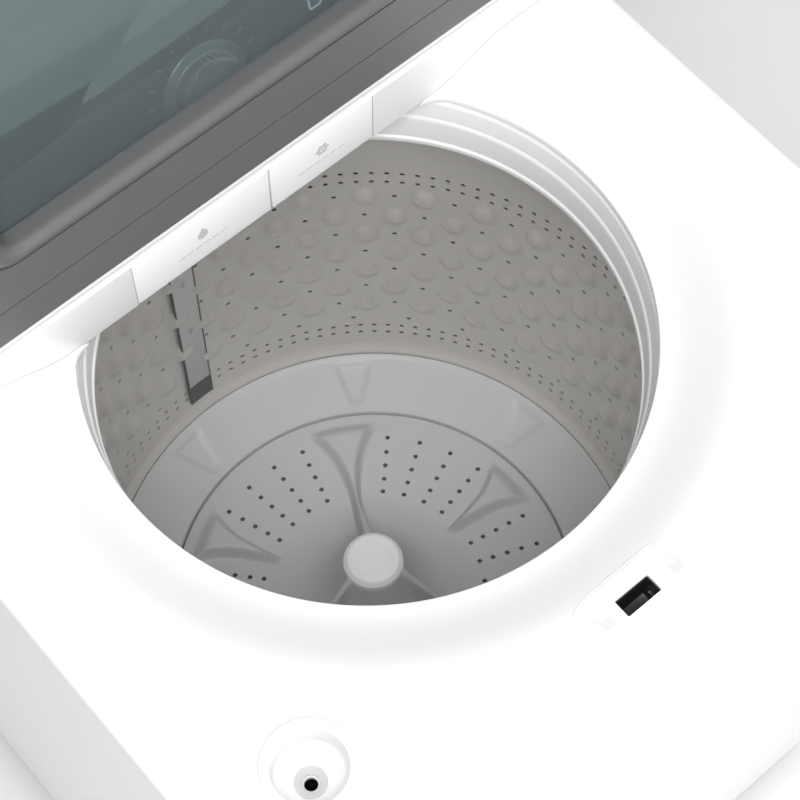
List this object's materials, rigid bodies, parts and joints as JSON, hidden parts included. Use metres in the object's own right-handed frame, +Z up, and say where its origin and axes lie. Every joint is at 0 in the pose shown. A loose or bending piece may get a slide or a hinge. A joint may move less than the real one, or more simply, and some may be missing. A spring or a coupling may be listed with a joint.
{
  "type": "top load washing machine",
  "caption": "Top load washing machine with an open lid, a perforated steel basket, a low wash plate and a dispenser with drawers behind the loading mouth.",
  "frame": {"origin": "on the floor under the middle of the cabinet, which is also the basket's axis", "axes": "+Z up, the front of the machine faces -Y, +X is its right side seen from the front"},
  "size_m": [0.686, 0.686, 1.4339],
  "materials": {
    "white_enamel": "smooth white enamel",
    "white_plastic": "smooth white moulded plastic",
    "tub_plastic": "natural filled polypropylene",
    "grey_plastic": "fine satin light grey plastic",
    "pale_plastic": "satin pale grey plastic",
    "dark_plastic": "fine textured dark grey plastic",
    "black_plastic": "black moulded plastic",
    "smoked_glass": "smoke tinted toughened glass",
    "stainless": "bright rolled stainless steel",
    "zinc": "zinc plated steel",
    "cast_metal": "as cast aluminium",
    "rubber": "black rubber",
    "chrome": "bright chrome",
    "circuit_board": "green circuit board"
  },
  "bodies": {
    "cabinet": {"cabinet_wrapper": "white_enamel", "rear_panel": "zinc", "base_frame": "zinc", "inlet_valve": "white_plastic", "drain_outlet": "black_plastic", "cord_gland": "black_plastic", "top_deck": "white_enamel", "bleach_cup": "white_plastic", "lid_lock_housing": "black_plastic", "dispenser_housing": "white_plastic", "drawer_bay": "white_plastic", "console_shell": "white_plastic", "console_fascia": "dark_plastic", "display_window": "black_plastic", "control_board": "circuit_board", "suspension_rod_front_left": "zinc", "suspension_rod_front_right": "zinc", "suspension_rod_rear_left": "zinc", "suspension_rod_rear_right": "zinc", "suspension_spring_front_left": "zinc", "suspension_spring_front_right": "zinc", "suspension_spring_rear_left": "zinc", "suspension_spring_rear_right": "zinc"},
    "lid": {"lid_frame": "white_plastic", "lid_inner_frame": "dark_plastic", "lid_glass": "smoked_glass", "lid_strike": "pale_plastic", "hinge_pin_left": "zinc", "hinge_pin_right": "zinc"},
    "lock_bolt": {"lid_lock_bolt": "chrome"},
    "detergent_drawer": {"detergent_drawer": "white_plastic"},
    "softener_drawer": {"softener_drawer": "white_plastic"},
    "cycle_knob": {"cycle_knob": "chrome"},
    "power_button": {"power_button": "pale_plastic"},
    "start_button": {"start_button": "pale_plastic"},
    "temperature_button": {"temperature_button": "pale_plastic"},
    "spin_button": {"spin_button": "pale_plastic"},
    "tub": {"outer_tub": "tub_plastic", "tub_ring": "tub_plastic", "tub_seal": "rubber", "gearcase": "cast_metal", "motor": "cast_metal", "drive_belt": "rubber", "drain_pump": "black_plastic"},
    "motor_pulley": {"motor_pulley": "cast_metal"},
    "drive_pulley": {"drive_pulley": "cast_metal"},
    "clutch": {"clutch_ring": "white_plastic"},
    "basket": {"basket_wall": "stainless", "balance_ring": "grey_plastic", "basket_base": "grey_plastic", "basket_hub": "cast_metal", "load_guide_strip": "grey_plastic"},
    "wash_plate": {"wash_plate": "grey_plastic", "hub_cap": "pale_plastic", "plate_bolt": "zinc", "drive_shaft": "zinc"},
    "foot_front_left": {"foot_front_left": "rubber"},
    "foot_front_right": {"foot_front_right": "rubber"},
    "foot_rear_left": {"foot_rear_left": "rubber"},
    "foot_rear_right": {"foot_rear_right": "rubber"}
  },
  "joints": [
    {"name": "lid_hinge", "type": "hinge", "parent": "cabinet", "child": "lid", "pos_m": [0, 0.145, 0.962], "axis": [1, 0, 0], "range_deg": [0, 94]},
    {"name": "lid_lock_slide", "type": "slide", "parent": "cabinet", "child": "lock_bolt", "axis": [-1, 0, 0], "range_m": [0, 0.008]},
    {"name": "detergent_drawer_slide", "type": "slide", "parent": "cabinet", "child": "detergent_drawer", "axis": [0, -1, 0], "range_m": [0, 0.1]},
    {"name": "softener_drawer_slide", "type": "slide", "parent": "cabinet", "child": "softener_drawer", "axis": [0, -1, 0], "range_m": [0, 0.1]},
    {"name": "cycle_knob_turn", "type": "hinge", "parent": "cabinet", "child": "cycle_knob", "pos_m": [0, 0.20546, 1.01603], "axis": [0, -0.9545, 0.2981], "continuous": true},
    {"name": "power_button_press", "type": "slide", "parent": "cabinet", "child": "power_button", "axis": [0, 0.9545, -0.2981], "range_m": [0, 0.0015], "stiffness_N_per_m": 900, "springref_m": -0.001},
    {"name": "start_button_press", "type": "slide", "parent": "cabinet", "child": "start_button", "axis": [0, 0.9545, -0.2981], "range_m": [0, 0.0015], "stiffness_N_per_m": 900, "springref_m": -0.001},
    {"name": "temperature_button_press", "type": "slide", "parent": "cabinet", "child": "temperature_button", "axis": [0, 0.9545, -0.2981], "range_m": [0, 0.0015], "stiffness_N_per_m": 900, "springref_m": -0.001},
    {"name": "spin_button_press", "type": "slide", "parent": "cabinet", "child": "spin_button", "axis": [0, 0.9545, -0.2981], "range_m": [0, 0.0015], "stiffness_N_per_m": 900, "springref_m": -0.001},
    {"name": "tub_suspension", "type": "slide", "parent": "cabinet", "child": "tub", "axis": [0, 0, 1], "range_m": [-0.035, 0], "stiffness_N_per_m": 12000, "springref_m": 0.07, "deforming": ["suspension_spring_front_left", "suspension_spring_front_right", "suspension_spring_rear_left", "suspension_spring_rear_right"]},
    {"name": "basket_spin", "type": "hinge", "parent": "tub", "child": "basket", "pos_m": [0, 0, 0.4], "axis": [0, 0, 1], "continuous": true},
    {"name": "wash_plate_turn", "type": "hinge", "parent": "basket", "child": "wash_plate", "pos_m": [0, 0, 0.4], "axis": [0, 0, 1], "continuous": true},
    {"name": "drive_pulley_turn", "type": "hinge", "parent": "tub", "child": "drive_pulley", "pos_m": [0, 0, 0.16], "axis": [0, 0, 1], "continuous": true},
    {"name": "motor_turn", "type": "hinge", "parent": "tub", "child": "motor_pulley", "pos_m": [0.175, 0, 0.16], "axis": [0, 0, 1], "continuous": true},
    {"name": "clutch_shift", "type": "slide", "parent": "tub", "child": "clutch", "axis": [0, 0, 1], "range_m": [0, 0.006]},
    {"name": "foot_front_left_turn", "type": "hinge", "parent": "cabinet", "child": "foot_front_left", "pos_m": [-0.3, -0.3, 0.02], "axis": [0, 0, 1], "continuous": true},
    {"name": "foot_front_right_turn", "type": "hinge", "parent": "cabinet", "child": "foot_front_right", "pos_m": [0.3, -0.3, 0.02], "axis": [0, 0, 1], "continuous": true},
    {"name": "foot_rear_left_turn", "type": "hinge", "parent": "cabinet", "child": "foot_rear_left", "pos_m": [-0.3, 0.3, 0.02], "axis": [0, 0, 1], "continuous": true},
    {"name": "foot_rear_right_turn", "type": "hinge", "parent": "cabinet", "child": "foot_rear_right", "pos_m": [0.3, 0.3, 0.02], "axis": [0, 0, 1], "continuous": true}
  ],
  "couplings": [
    {"joint": "drive_pulley_turn", "follows": "wash_plate_turn", "ratio": 4.5},
    {"joint": "motor_turn", "follows": "wash_plate_turn", "ratio": 17.25}
  ]
}
